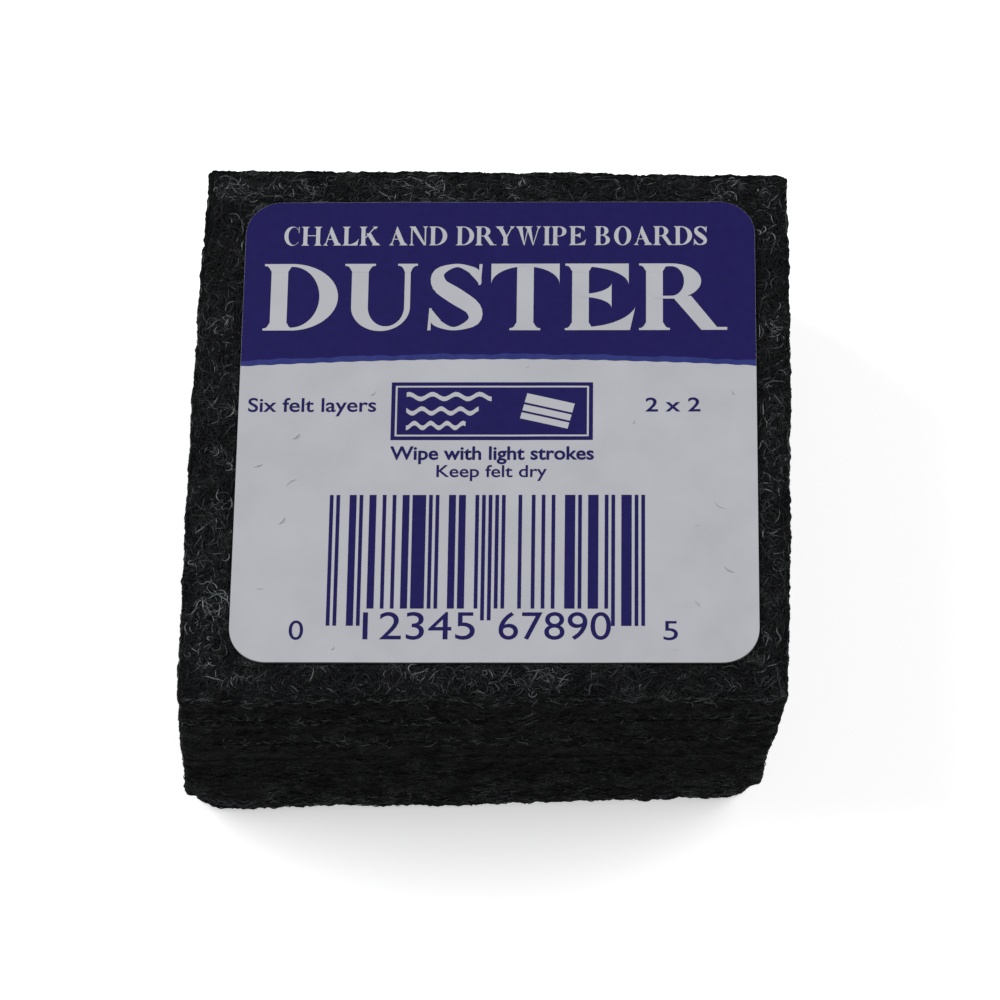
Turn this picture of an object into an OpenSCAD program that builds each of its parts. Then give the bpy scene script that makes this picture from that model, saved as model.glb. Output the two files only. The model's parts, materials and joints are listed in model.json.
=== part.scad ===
// All-felt board eraser: a square block of laminated felt with a paper label on its top.
// The block is glued up from flat plies and then knife-cut, so its sides lean a little.
// Millimetres. Origin: centre of the bounding box, on the wiping face. +Z is up, and the
// label reads the right way up for a reader who stands on the -Y side.

/* [Felt block] */
// Length of each side of the block
side = 50.8; // [30:0.1:120]
// Thickness of one felt ply
ply_thick = 3.4; // [2:0.1:8]
// Thickness of the glue film between two plies
film_thick = 0.12; // [0.05:0.01:0.5]
// How far the lowest ply has drifted to the left of the top one
lean = 1.4; // [0:0.1:2]
// Turn of the top ply about the vertical, in degrees
first_turn = 0.4; // [0:0.1:2]
// Further turn of the lowest ply, in degrees
twist = 1.0; // [0:0.1:2]

/* [Wear] */
// Radius of the upright corners of the plies
corner_r = 0.6; // [0.2:0.1:3]
// Radius of the upright corners of the lowest ply, which are worn round
worn_corner_r = 2.2; // [0.2:0.1:5]
// Bevel rubbed along the edges of the wiping face
worn_bevel = 0.8; // [0.2:0.1:1.5]
// How much smaller a glue film is than a ply, all round
film_inset = 1.0; // [0.8:0.1:3]

/* [Label] */
// Length of each side of the square label
label_side = 44.45; // [20:0.05:100]
// Radius of the label's corners
label_r = 3.2; // [1:0.1:8]
// Thickness of the paper
paper_thick = 0.11; // [0.05:0.01:0.3]
// Thickness of the coat of adhesive under the paper
adhesive_thick = 0.03; // [0.02:0.01:0.1]
// Distance of the label's centre from the top ply's centre, to the right
label_dx = 1.0; // [-2:0.1:2]
// Distance of the label's centre from the top ply's centre, to the back
label_dy = 0.5; // [-2:0.1:2]

/* [Hidden] */
plies = 6;
films = plies - 1;
$fn = 64;
felt_colour = "#202225";
glue_colour = "#4b4436";
paper_colour = "#e4e5ea";
adhesive_colour = "#c9c6b4";

// Plies are counted from the label down. Each has slid a little out or in at the front.
push = [0, 0.2, 0.3, -0.3, 0, 0];
depth = [for (i = [0:films]) i / films];
ply_x = [for (d = depth) -lean * d];
ply_y = -push;
ply_turn = [for (d = depth) first_turn + twist * d];

// Half the width of a round-cornered square once it has been turned
function corner_of(i) = i == films ? worn_corner_r : corner_r;
function half_width(i) =
    (side / 2 - corner_of(i)) * (cos(ply_turn[i]) + sin(ply_turn[i])) + corner_of(i);

// Shift that brings the middle of the whole block's box to the origin
reach = [for (i = [0:films]) half_width(i)];
centre_x = (max(ply_x + reach) + min(ply_x - reach)) / 2;
centre_y = (max(ply_y + reach) + min(ply_y - reach)) / 2;

pitch = ply_thick + film_thick;
block_top = films * pitch + ply_thick;

// Places children() where ply number n lies in the block, with its underside at z = 0
module at_ply(n) {
    translate([ply_x[n - 1] - centre_x, ply_y[n - 1] - centre_y, (plies - n) * pitch])
        rotate([0, 0, ply_turn[n - 1]])
            children();
}

// Flat square plate with round corners, standing on z = 0
module plate(width, radius, thickness) {
    straight = width - 2 * radius;
    linear_extrude(thickness) {
        square([width, straight], center = true);
        square([straight, width], center = true);
        for (x = [-1, 1], y = [-1, 1])
            translate([x, y] * straight / 2) circle(radius);
    }
}

// Four long prisms that cut a bevel along the lower edges of a plate
module edge_cutters(width, bevel) {
    for (turn = [0:90:270])
        rotate([0, 0, turn])
            translate([0, -width / 2, 0])
                rotate([45, 0, 0])
                    cube([2 * width, bevel * sqrt(2), bevel * sqrt(2)], center = true);
}

// One ply of felt; the lowest has round corners and a rubbed edge
module felt_ply(n) {
    color(felt_colour)
        at_ply(n)
            difference() {
                plate(side, corner_of(n - 1), ply_thick);
                if (n == plies) edge_cutters(side, worn_bevel);
            }
}

// One film of dried glue, lying on the ply below it and under ply number n
module glue_film(n) {
    color(glue_colour)
        at_ply(n)
            translate([0, 0, -film_thick])
                plate(side - 2 * film_inset, worn_corner_r, film_thick);
}

// Puts children() on top of the block at the label's place, raised by lift
module at_label(lift) {
    translate([label_dx - centre_x, label_dy - centre_y, block_top + lift]) children();
}

// The coat of pressure-sensitive adhesive under the label
module label_adhesive() {
    color(adhesive_colour)
        at_label(0) plate(label_side, label_r, adhesive_thick);
}

// The paper label, printed on its upper face
module label_face() {
    color(paper_colour)
        at_label(adhesive_thick) plate(label_side, label_r, paper_thick);
}

label_face();
label_adhesive();
felt_ply(1);  // felt_ply_1
felt_ply(2);  // felt_ply_2
felt_ply(3);  // felt_ply_3
felt_ply(4);  // felt_ply_4
felt_ply(5);  // felt_ply_5
felt_ply(6);  // felt_ply_6
glue_film(1);  // glue_film_1
glue_film(2);  // glue_film_2
glue_film(3);  // glue_film_3
glue_film(4);  // glue_film_4
glue_film(5);  // glue_film_5
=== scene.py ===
# %% [markdown]
# # A felt board eraser
# The real object is a block about 51 mm square and 21 mm high. It is glued up from six plies
# of charcoal felt, cut square with a knife, and carries a printed paper label on its top.
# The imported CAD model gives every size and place. This lesson gives each felt ply its wavy,
# bulging edge and its loose fibres, and prints the label.

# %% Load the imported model
import json
import math
from functools import partial

import bmesh
import bpy
import numpy as np
from mathutils import Matrix, Vector, noise

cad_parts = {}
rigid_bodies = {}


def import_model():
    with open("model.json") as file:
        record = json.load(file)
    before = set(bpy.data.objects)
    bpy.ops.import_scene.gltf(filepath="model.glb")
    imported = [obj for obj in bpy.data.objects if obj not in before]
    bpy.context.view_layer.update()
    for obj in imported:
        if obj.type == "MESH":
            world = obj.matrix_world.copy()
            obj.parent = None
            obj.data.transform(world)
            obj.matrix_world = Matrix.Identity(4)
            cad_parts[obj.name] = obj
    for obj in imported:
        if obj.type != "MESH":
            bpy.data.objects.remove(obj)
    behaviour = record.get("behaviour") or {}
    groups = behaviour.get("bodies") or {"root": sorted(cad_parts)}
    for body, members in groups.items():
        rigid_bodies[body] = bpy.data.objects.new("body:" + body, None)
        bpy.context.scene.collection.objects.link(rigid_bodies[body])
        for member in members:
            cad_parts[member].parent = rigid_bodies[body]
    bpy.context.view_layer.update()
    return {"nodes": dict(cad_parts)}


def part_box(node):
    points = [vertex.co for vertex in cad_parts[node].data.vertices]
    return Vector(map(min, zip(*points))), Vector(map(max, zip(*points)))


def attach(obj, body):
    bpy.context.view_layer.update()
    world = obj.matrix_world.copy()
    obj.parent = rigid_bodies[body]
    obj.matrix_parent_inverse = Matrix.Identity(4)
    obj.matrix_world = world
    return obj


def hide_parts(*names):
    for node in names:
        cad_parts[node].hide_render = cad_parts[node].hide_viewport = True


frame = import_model()
MM = 0.001
PLIES = 6
FILMS = PLIES - 1
print("CAD nodes:", ", ".join(sorted(frame["nodes"])))

# %% [markdown]
# ## Working in millimetres
# Small objects are easier to model in millimetres. Every mesh below is made in them, and one
# helper scales it to metres when it becomes an object. The object itself stays at the origin.

# %% Helpers that finish a mesh
def box_mm(node):
    """The lowest and highest corner of a CAD node, in millimetres."""
    low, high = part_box(node)
    return low / MM, high / MM


def add_piece(name, mesh, material):
    """A mesh in millimetres becomes a piece of the eraser."""
    mesh.transform(Matrix.Scale(MM, 4))
    mesh.materials.clear()
    mesh.materials.append(material)
    piece = bpy.data.objects.new(name, mesh)
    bpy.context.scene.collection.objects.link(piece)
    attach(piece, "root")
    return piece


def mesh_from(bm, name):
    """The mesh of a bmesh that is finished with."""
    mesh = bpy.data.meshes.new(name)
    bm.to_mesh(mesh)
    bm.free()
    return mesh


top_low, top_high = box_mm("felt_ply_1")
BLOCK_TOP = top_high.z
TOP_X, TOP_Y = (top_low.x + top_high.x) / 2, (top_low.y + top_high.y) / 2
label_low, label_high = box_mm("label_face")
LABEL_X, LABEL_Y = (label_low.x + label_high.x) / 2, (label_low.y + label_high.y) / 2
LABEL_SIDE = label_high.x - label_low.x
print(f"block top {BLOCK_TOP:.2f} mm, label {LABEL_SIDE:.2f} mm square")

# %% [markdown]
# ## The camera
# A long lens looks down steeply on the label from about 40 cm away, as on a copy stand that
# leans towards the front of the block. A camera is placed by an orbit: how far it is, how
# high it stands above the horizon, how far round it has walked, and its small roll.

# %% Camera
LENS_MM, SENSOR_MM = 172.5, 36.0
CAMERA_DISTANCE, ELEVATION, AZIMUTH, ROLL = 406.8, 63.1, 3.9, -3.5
AIM = Vector((LABEL_X + 0.35, LABEL_Y - 7.0, label_high.z))

walked = Matrix.Rotation(math.radians(AZIMUTH), 4, "Z")
orbit = walked @ Matrix.Rotation(math.radians(90 - ELEVATION), 4, "X")
camera_data = bpy.data.cameras.new("camera")
camera_data.lens = LENS_MM
camera_data.sensor_width = SENSOR_MM
camera_data.clip_start = 0.01
camera = bpy.data.objects.new("camera", camera_data)
camera.matrix_world = (
    Matrix.Translation(AIM * MM)
    @ orbit
    @ Matrix.Translation((0, 0, CAMERA_DISTANCE * MM))
    @ Matrix.Rotation(math.radians(ROLL), 4, "Z")
)
bpy.context.scene.collection.objects.link(camera)
bpy.context.scene.camera = camera
print("camera at", [round(c / MM) for c in camera.matrix_world.translation], "mm")

# %% [markdown]
# ## Floor and light
# The block stands on plain white card between two large soft lights, one at each side and a
# little behind it. The label faces up and catches nearly all of their light, while the front
# falls into shade, which is what makes its layers readable. The card shines a little by
# itself, as an evenly lit backdrop does, so that it stays white beside the dark felt. The
# Standard view transform shows each colour as it is, where the default one would dull the
# white card and shift the ink.

# %% Colours and nodes
def srgb(code):
    """A colour written as #rrggbb, as the linear values that a shader takes."""
    parts = [int(code[i : i + 2], 16) / 255 for i in (1, 3, 5)]
    return [p / 12.92 if p <= 0.04045 else ((p + 0.055) / 1.055) ** 2.4 for p in parts] + [1.0]


def add_node(tree, kind, inputs=None, stops=(), **settings):
    """A node with its settings; an input is a value, or another node's socket to link.

    Each stop of a colour ramp is a position and a linear colour, in rising order.
    """
    node = tree.nodes.new(kind)
    for name, value in settings.items():
        setattr(node, name, value)
    for k, (position, colour) in enumerate(stops):
        elements = node.color_ramp.elements
        element = elements[k] if k < len(elements) else elements.new(1.0)
        element.position, element.color = position, colour
    for name, value in (inputs or {}).items():
        # Mix nodes have many sockets of one name, so their identifiers are used.
        named = [i for i in node.inputs if i.identifier == name]
        socket = named[0] if named else node.inputs[name]
        if isinstance(value, bpy.types.NodeSocket):
            tree.links.new(value, socket)
        else:
            socket.default_value = value
    return node


def new_material(name):
    """A new material, with its node tree and its shader."""
    material = bpy.data.materials.new(name)
    material.use_nodes = True
    return material, material.node_tree, material.node_tree.nodes["Principled BSDF"]


print("mid grey is", round(srgb("#808080")[0], 3), "in linear values")

# %% Floor
# Uncoated white card is matt, and shows no reflection of the block.
FLOOR_SIDE = 3000.0
floor_bm = bmesh.new()
bmesh.ops.create_grid(floor_bm, x_segments=2, y_segments=2, size=FLOOR_SIDE / 2)
floor_mesh = mesh_from(floor_bm, "floor")
floor_mesh.transform(Matrix.Scale(MM, 4))
floor = bpy.data.objects.new("floor", floor_mesh)
bpy.context.scene.collection.objects.link(floor)
floor_material, _, floor_shader = new_material("white card")
floor_shader.inputs["Base Color"].default_value = srgb("#f6f6f7")
floor_shader.inputs["Roughness"].default_value = 0.9
floor_shader.inputs["Emission Color"].default_value = srgb("#ffffff")
floor_shader.inputs["Emission Strength"].default_value = 0.55
floor_shader.inputs["Specular IOR Level"].default_value = 0.2
floor_mesh.materials.append(floor_material)
print("floor", FLOOR_SIDE * MM, "m square")

# %% Lights
def softbox(name, side, watts, place):
    """A square area light, side in metres, that points at the block."""
    data = bpy.data.lights.new(name, "AREA")
    data.size = side
    data.energy = watts
    light = bpy.data.objects.new(name, data)
    light.location = place
    light.rotation_euler = (-Vector(place)).to_track_quat("-Z", "Y").to_euler()
    bpy.context.scene.collection.objects.link(light)


softbox("left_box", 0.7, 8.5, (-0.80, 0.30, 0.62))
softbox("right_box", 0.7, 7.0, (0.80, 0.25, 0.62))
world = bpy.data.worlds.new("studio")
world.use_nodes = True
world.node_tree.nodes["Background"].inputs["Color"].default_value = srgb("#ffffff")
world.node_tree.nodes["Background"].inputs["Strength"].default_value = 0.12
bpy.context.scene.world = world
bpy.context.scene.view_settings.view_transform = "Standard"
print("two soft lights and a weak even light from all round")

# %% [markdown]
# ## Pressed felt
# This felt is recycled wool and synthetic fibre, dyed charcoal: nearly black, with grey and
# brownish strands caught in it. Noise that is stretched along one direction makes streaks, and
# its highest places are short strands. Seven such layers, each at its own angle, cross one
# another as fibres do, and a slow noise bends them all. The same strands lift the surface a
# little as bump. Felt scatters light from every fibre, so it is rough and has hardly any gloss.
# Up the cut sides, bands of light and shade are painted into its colour by height.

# %% Felt material
# One fibre is 0.03 mm thick, too fine to show, so a strand stands for a few that lie together.
STRAND_WIDTH = 0.13
STRAND_LAYERS = [
    # direction in degrees, length in millimetres, colour, how rare: a level of the noise
    (20, 2.2, "#1d1f1f", 0.58),
    (110, 1.8, "#212323", 0.59),
    (65, 1.6, "#23211f", 0.61),
    (155, 2.4, "#303334", 0.63),
    (85, 1.8, "#393d3d", 0.65),
    (0, 2.6, "#484c4d", 0.67),
    (35, 2.2, "#555a5a", 0.69),
]
# How much commoner strands are in the tufts, how softly they end, how much they add to the fine
# noise of the surface, and how deep that surface is in millimetres.
TUFT_EXTRA, STRAND_FADE, STRAND_RISE, BUMP_DEPTH = 0.08, 0.09, 0.5, 0.10
# On the cut sides the felt is painted in bands of light and shade by height: pale at the soft
# ledges and at the top edge, as painted highlight where they catch light; dark between them, as
# painted shade in the recesses; and pale at the hem. Heights in millimetres, and the tone at each,
# from 0 for the darkest to 1.
LIGHT_AND_SHADE_HEIGHTS = (0.0, 3.0, 7.0, 11.0, 12.6, 14.2, 15.8, 17.8, 19.2, 20.5, 21.0)
PAINTED_LIGHT_AND_SHADE = (1.0, 0.9, 0.5, 0.0, 0.2, 0.75, 0.25, 0.75, 0.1, 0.45, 1.0)
# How dark the deepest painted shade leaves the felt: the share of its colour that it keeps.
DEEPEST_PAINTED_SHADE = 0.3


def felt_material(name, base, shade):
    """Pressed felt: dark matted wool with layers of paler strands, and painted light and shade by height."""
    material, tree, shader = new_material(name)
    node = partial(add_node, tree)
    place = node("ShaderNodeTexCoord").outputs["Object"]
    # Each noise is given its waves per millimetre.
    slow, tufty, clotted, fine = (
        node("ShaderNodeTexNoise", {"Vector": place, "Scale": waves / MM, "Detail": detail, "Roughness": 0.6})
        for waves, detail in ((0.8, 2.0), (0.35, 3.0), (1.7, 5.0), (2.5, 4.0))
    )
    # The slow noise bends the strands: it moves each place by up to half a millimetre.
    sway = node("ShaderNodeVectorMath", {0: slow.outputs["Color"], 1: (0.5, 0.5, 0.5)}, operation="SUBTRACT")
    bent = node(
        "ShaderNodeVectorMath", {0: sway.outputs[0], 1: (1.3 * MM, 1.3 * MM, 0.5 * MM), 2: place},
        operation="MULTIPLY_ADD",
    ).outputs[0]
    tufts, clots = (
        node("ShaderNodeMapRange", {"Value": field.outputs["Fac"], "From Min": low, "From Max": high},
             interpolation_type="SMOOTHSTEP").outputs["Result"]
        for field, low, high in ((tufty, 0.38, 0.62), (clotted, 0.3, 0.7))
    )
    colour = node(
        "ShaderNodeMix", {"Factor": clots, "A_Color": srgb(base), "B_Color": srgb(shade)}, data_type="RGBA"
    ).outputs[2]
    height = fine.outputs["Fac"]
    for degrees, length, tint, level in STRAND_LAYERS:
        grain = node(
            "ShaderNodeMapping",
            {"Vector": bent, "Rotation": (0, 0, math.radians(degrees)),
             "Scale": (length * MM, STRAND_WIDTH * MM, STRAND_WIDTH * MM)},
            vector_type="TEXTURE",
        ).outputs["Vector"]
        streak = node("ShaderNodeTexNoise", {"Vector": grain, "Scale": 1.0, "Detail": 1.0, "Roughness": 0.6})
        streak = node(
            "ShaderNodeMath", {0: tufts, 1: TUFT_EXTRA, 2: streak.outputs["Fac"]}, operation="MULTIPLY_ADD"
        ).outputs[0]
        strand = node(
            "ShaderNodeMapRange", {"Value": streak, "From Min": level, "From Max": level + STRAND_FADE},
            interpolation_type="SMOOTHSTEP",
        ).outputs["Result"]
        colour = node(
            "ShaderNodeMix", {"Factor": strand, "A_Color": colour, "B_Color": srgb(tint)}, data_type="RGBA"
        ).outputs[2]
        height = node(
            "ShaderNodeMath", {0: strand, 1: STRAND_RISE, 2: height}, operation="MULTIPLY_ADD"
        ).outputs[0]
    # The height above the board, as a share of the block's, picks the painted light and shade.
    level = node(
        "ShaderNodeVectorMath", {0: place, 1: (0, 0, 1 / (BLOCK_TOP * MM))}, operation="MULTIPLY"
    ).outputs[0]
    level = node("ShaderNodeSeparateXYZ", {"Vector": level}).outputs["Z"]
    greys = [[DEEPEST_PAINTED_SHADE + (1 - DEEPEST_PAINTED_SHADE) * tone] * 3 + [1.0] for tone in PAINTED_LIGHT_AND_SHADE]
    stops = [(z / BLOCK_TOP, grey) for z, grey in zip(LIGHT_AND_SHADE_HEIGHTS, greys)]
    painted_shade_by_height = node("ShaderNodeValToRGB", {"Fac": level}, stops=stops).outputs["Color"]
    colour = node(
        "ShaderNodeMix", {"Factor": 1.0, "A_Color": colour, "B_Color": painted_shade_by_height},
        data_type="RGBA", blend_type="MULTIPLY",
    ).outputs[2]
    bump = node("ShaderNodeBump", {"Height": height, "Strength": 1.0, "Distance": BUMP_DEPTH * MM})
    tree.links.new(colour, shader.inputs["Base Color"])
    tree.links.new(bump.outputs["Normal"], shader.inputs["Normal"])
    shader.inputs["Roughness"].default_value = 0.95
    shader.inputs["IOR"].default_value = 1.5
    shader.inputs["Specular IOR Level"].default_value = 0.05
    shader.inputs["Sheen Weight"].default_value = 0.01
    shader.inputs["Sheen Roughness"].default_value = 0.5
    return material


# Fulled wool that is dyed charcoal: matt and nearly black, with a fine grey heather.
felt = felt_material("charcoal pressed felt", "#090a0c", "#101113")
print(felt.name, "has", len(STRAND_LAYERS), "layers of strands")

# %% Loose fibre material
FIBRE_TINTS = [
    (0.0, "#08090b"), (0.3, "#131416"), (0.6, "#1f2022"),
    (0.78, "#313233"), (0.9, "#525657"), (1.0, "#7f8485"),
]


def fibre_material():
    """Loose fibres; a point attribute called shade says how pale each one is."""
    material, tree, shader = new_material("loose wool fibre")
    shade = add_node(tree, "ShaderNodeAttribute", attribute_name="shade").outputs["Fac"]
    stops = [(shade_from, srgb(tint)) for shade_from, tint in FIBRE_TINTS]
    ramp = add_node(tree, "ShaderNodeValToRGB", {"Fac": shade}, stops=stops)
    tree.links.new(ramp.outputs["Color"], shader.inputs["Base Color"])
    shader.inputs["Roughness"].default_value = 0.75
    shader.inputs["IOR"].default_value = 1.55
    shader.inputs["Specular IOR Level"].default_value = 0.06
    return material


# Single wool fibres have a faint gloss of their own, and run from black to light grey.
wool_fibre = fibre_material()
print(wool_fibre.name, "runs through", len(FIBRE_TINTS), "tints")

# %% [markdown]
# ## One felt ply
# A ply is a square slab. A grid is extruded to a closed slab whose upright edges are cut into
# rows, and each point is then moved: corners go round, the cut edge bulges and wanders, and
# the faces get shallow dents. Only the top of the first ply and the wiping face of the last
# are seen, so the hidden faces of the others keep fine points near their rim only.

# %% Slab with fine edges
SIDE = 50.8
PLY_CELLS = 200
PLY_ROWS = 14
RIM_CELLS = 8


def unit_slab(cells, rows, rim=None):
    """A closed slab from -0.5 to 0.5 in x and y and from 0 to 1 in z."""
    bm = bmesh.new()
    bmesh.ops.create_grid(bm, x_segments=cells, y_segments=cells, size=0.5)
    if rim:
        inner = 0.5 - rim / cells
        middle = [f for f in bm.faces if max(map(abs, f.calc_center_median()[:2])) < inner]
        bmesh.ops.dissolve_faces(bm, faces=middle)
    base = bm.faces[:]
    raised = bmesh.ops.extrude_face_region(bm, geom=base, use_keep_orig=True)["geom"]
    lifted = [g for g in raised if isinstance(g, bmesh.types.BMVert)]
    bmesh.ops.translate(bm, vec=(0, 0, 1), verts=lifted)
    upright = [e for e in bm.edges if abs(e.verts[0].co.z - e.verts[1].co.z) > 0.5]
    bmesh.ops.subdivide_edges(bm, edges=upright, cuts=rows - 1, use_grid_fill=True)
    bmesh.ops.recalc_face_normals(bm, faces=bm.faces[:])
    return bm


# %% Measures of the plies
FIRST_TURN, TWIST = 0.4, 1.0
CORNER_R, WORN_CORNER_R, WEAR_HEIGHT, WEAR_DEPTH = 0.4, 3.2, 2.4, 0.45
CLOTH_R, BULGE, SWELL = 0.40, 0.05, 0.15
# How far in from the rim the felt still moves, and how far the cut edge turns in at the block's
# own edges and at the seams.
RIM_REACH, ARRIS_TUCK, SEAM_TUCK = 1.2, 0.20, 0.04
# How the cut edge wanders: how far in mm, waves per mm, how stretched it is upright, and a seed.
EDGE_WAVES = ((0.12, 0.30, 0.5, 1), (0.12, 0.9, 1.0, 20), (0.09, 2.4, 1.0, 40), (0.05, 5.0, 1.0, 50))
PLY_BOXES = {i: box_mm(f"felt_ply_{i}") for i in range(1, PLIES + 1)}
# The stack leans: at each height its centre lies between the centres of the nearest plies.
CENTRES = [(low + high) / 2 for low, high in (PLY_BOXES[i] for i in range(PLIES, 0, -1))]
# Some plies were cut a little wider than the rest, which leaves soft ledges.
LEDGES = {1: 0.0, 2: 0.06, 3: 0.10, 4: 0.04, 5: 0.02, 6: 0.0}
# The knife ran askew, so each corner slips a little, to +x and to +y, and each side bows out.
TOP_SLIPS = {
    "back_left": (0.9, 0.95), "back_right": (0.75, -0.1),
    "front_left": (-0.1, 0.3), "front_right": (-0.15, 0.2),
}
LOWER_SLIPS = dict(TOP_SLIPS, front_left=(0.0, -0.4), front_right=(-1.05, -0.4))
SLIP_DEPTH = 9.0
BOWS = {"left": 0.25, "right": 0.3, "back": 0.12, "front": 0.0}
lean = CENTRES[-1] - CENTRES[0]
print(f"the stack leans by {lean.x:.2f} and {lean.y:.2f} mm from its foot to its top")

# %% Helpers for corners, sides and faces
def wander(x, y, z, waves_per_mm, seed):
    """A smooth random value, mostly within 0.5 of zero, that drifts from place to place."""
    return noise.noise(Vector((x, y, z)) * waves_per_mm + Vector((seed, 3.7 * seed, -seed)))


def round_corner(x, y, half, radius):
    """Moves a point of a square plate so that the plate's corners become round."""
    inner = half - radius
    dx = x - max(-inner, min(inner, x))
    dy = y - max(-inner, min(inner, y))
    if dx == 0 or dy == 0:
        return x, y
    stretch = max(abs(dx), abs(dy)) / math.hypot(dx, dy)
    return x - dx + dx * stretch, y - dy + dy * stretch


def outward(u, w):
    """The outward direction at a place (u, w) of the unit square."""
    if abs(abs(u) - abs(w)) < 0.006:
        return Vector((u, w)).normalized()
    return Vector((math.copysign(1, u), 0)) if abs(u) > abs(w) else Vector((0, math.copysign(1, w)))


def label_clearance(x, y):
    """0 under the label, rising to 1 in a millimetre of open felt, for a point of the top ply."""
    gap = max(abs(x - LABEL_X + TOP_X), abs(y - LABEL_Y + TOP_Y)) - LABEL_SIDE / 2
    return max(0.0, min(1.0, gap))


# %% How the stack leans, and where the askew knife went
def stack_centre(z):
    """The centre of the leaning stack at a height."""
    heights = [centre.z for centre in CENTRES]
    return [float(np.interp(z, heights, [centre[axis] for centre in CENTRES])) for axis in (0, 1)]


def slip(depth, u, w):
    """How far the askew knife moved a point that lies at some depth below the block's top."""
    left, back = 0.5 - u, 0.5 + w
    weights = {"back_left": left * back, "back_right": (1 - left) * back,
               "front_left": left * (1 - back), "front_right": (1 - left) * (1 - back)}
    # The sides have slipped fully at SLIP_DEPTH, the front and the back only at the block's foot.
    lower = [min(1.0, max(0.0, depth) / full) for full in (SLIP_DEPTH, BLOCK_TOP)]
    move = Vector((0, 0))
    for corner, weight in weights.items():
        for axis in (0, 1):
            top, foot = TOP_SLIPS[corner][axis], LOWER_SLIPS[corner][axis]
            move[axis] += weight * (top + (foot - top) * lower[axis])
    move.x += BOWS["right" if u > 0 else "left"] * 2 * u * (1 - 4 * w * w)
    move.y += BOWS["back" if w > 0 else "front"] * 2 * w * (1 - 4 * u * u)
    return move


print("the lowest front right corner slips by", [round(c, 2) for c in slip(BLOCK_TOP, 0.5, -0.5)], "mm")

# %% Where a point of a ply goes
def ply_point(ply, u, w, s):
    """Where (u, w, s) of the unit slab lies in ply number ply, in millimetres."""
    low, high = PLY_BOXES[ply]
    last = ply == PLIES
    thick = high.z - low.z
    x, y = round_corner(u * SIDE, w * SIDE, SIDE / 2, WORN_CORNER_R if last else CORNER_R)
    # Rows crowd towards both faces, where the edge turns over.
    z = thick * (0.5 - 0.5 * math.cos(math.pi * s))
    rim = math.exp(-(0.5 - max(abs(u), abs(w))) * SIDE / RIM_REACH)
    # The cut edge wanders along its length, and turns in a little at both faces.
    tuck = max(0.0, 1 - min(z, thick - z) / CLOTH_R)
    arris = (ply == 1 and s > 0.5) or (last and s < 0.5)
    move = BULGE + LEDGES[ply] - (ARRIS_TUCK if arris else SEAM_TUCK) * tuck * tuck
    for size, waves, stretch, seed in EDGE_WAVES:
        move += size * wander(x, y, (low.z + z) * stretch, waves, seed)
    if last:
        wear = max(0.0, 1 - z / WEAR_HEIGHT)
        move -= (WEAR_DEPTH + 0.5 * wander(x, y, 0, 0.16, 7) + 0.2 * wander(x, y, 0, 0.8, 8)) * wear * wear
    out = outward(u, w)
    x += out.x * move * rim
    y += out.y * move * rim
    # Both faces have shallow dents; under the label the felt is pressed flat.
    dents = 0.10 * wander(x, y, 0, 0.45, 60 + ply) + 0.08 * wander(x, y, 0, 1.4, 80 + ply)
    dents += 0.05 * wander(x, y, 0, 3.2, 90)
    # Between the plies the cut felt swells, closes over the glue line and meets its neighbour,
    # into which it presses by up to 0.2 mm at the rim.
    swell = SWELL * rim * (0.75 + 0.5 * wander(x, y, low.z, 0.5, 95))
    if s == 1:
        z += dents * label_clearance(x, y) - 0.10 * rim if ply == 1 else swell
    elif s == 0:
        z += abs(dents) * 0.8 if last else -swell
    depth = BLOCK_TOP - low.z - z
    turn = math.radians(FIRST_TURN + TWIST * depth / BLOCK_TOP)
    moved = slip(depth, u, w)
    centre_x, centre_y = stack_centre(low.z + z)
    return Vector((
        centre_x + x * math.cos(turn) - y * math.sin(turn) + moved.x,
        centre_y + x * math.sin(turn) + y * math.cos(turn) + moved.y,
        low.z + z,
    ))


print("back right corner of the top ply:", [round(c, 2) for c in ply_point(1, 0.5, 0.5, 1)], "mm")

# %% The six plies
for ply in range(1, PLIES + 1):
    seen_face = ply in (1, PLIES)
    bm = unit_slab(PLY_CELLS, PLY_ROWS, rim=None if seen_face else RIM_CELLS)
    for v in bm.verts:
        v.co = ply_point(ply, *v.co)
    for f in bm.faces:
        f.smooth = True
    piece = add_piece(f"felt_slab_{ply}", mesh_from(bm, f"felt_slab_{ply}"), felt)
    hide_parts(f"felt_ply_{ply}")
    print(piece.name, len(piece.data.polygons), "faces")

# %% [markdown]
# ## Loose fibres
# Felt is never clean at its surface: pale strands lie on it, and cut ends show at its edges.
# Hair curves would be quicker to make, but they have no mesh to hand on. So each fibre is a
# curve with a three-sided section, thin at both ends. It starts and ends just inside the felt
# and curls along it between. Thousands of them share one curve object, which is turned into a
# mesh, and a number on each point says how pale its fibre is.

# %% The section of a fibre
FIBRE_POINTS = 7
# A wool fibre is 0.03 mm thick; these are two or three of them, coarse enough to show.
FIBRE_R = 0.045
THINNEST, THICKEST = 0.6, 1.3

section_curve = bpy.data.curves.new("fibre_section", "CURVE")
section_curve.dimensions = "2D"
triangle = section_curve.splines.new("POLY")
triangle.points.add(2)
for point, angle in zip(triangle.points, (90, 210, 330)):
    point.co = (math.cos(math.radians(angle)), math.sin(math.radians(angle)), 0, 1)
triangle.use_cyclic_u = True
section = bpy.data.objects.new("fibre_section", section_curve)
print("a fibre has", FIBRE_POINTS, "points, and", len(triangle.points), "sides")

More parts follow.
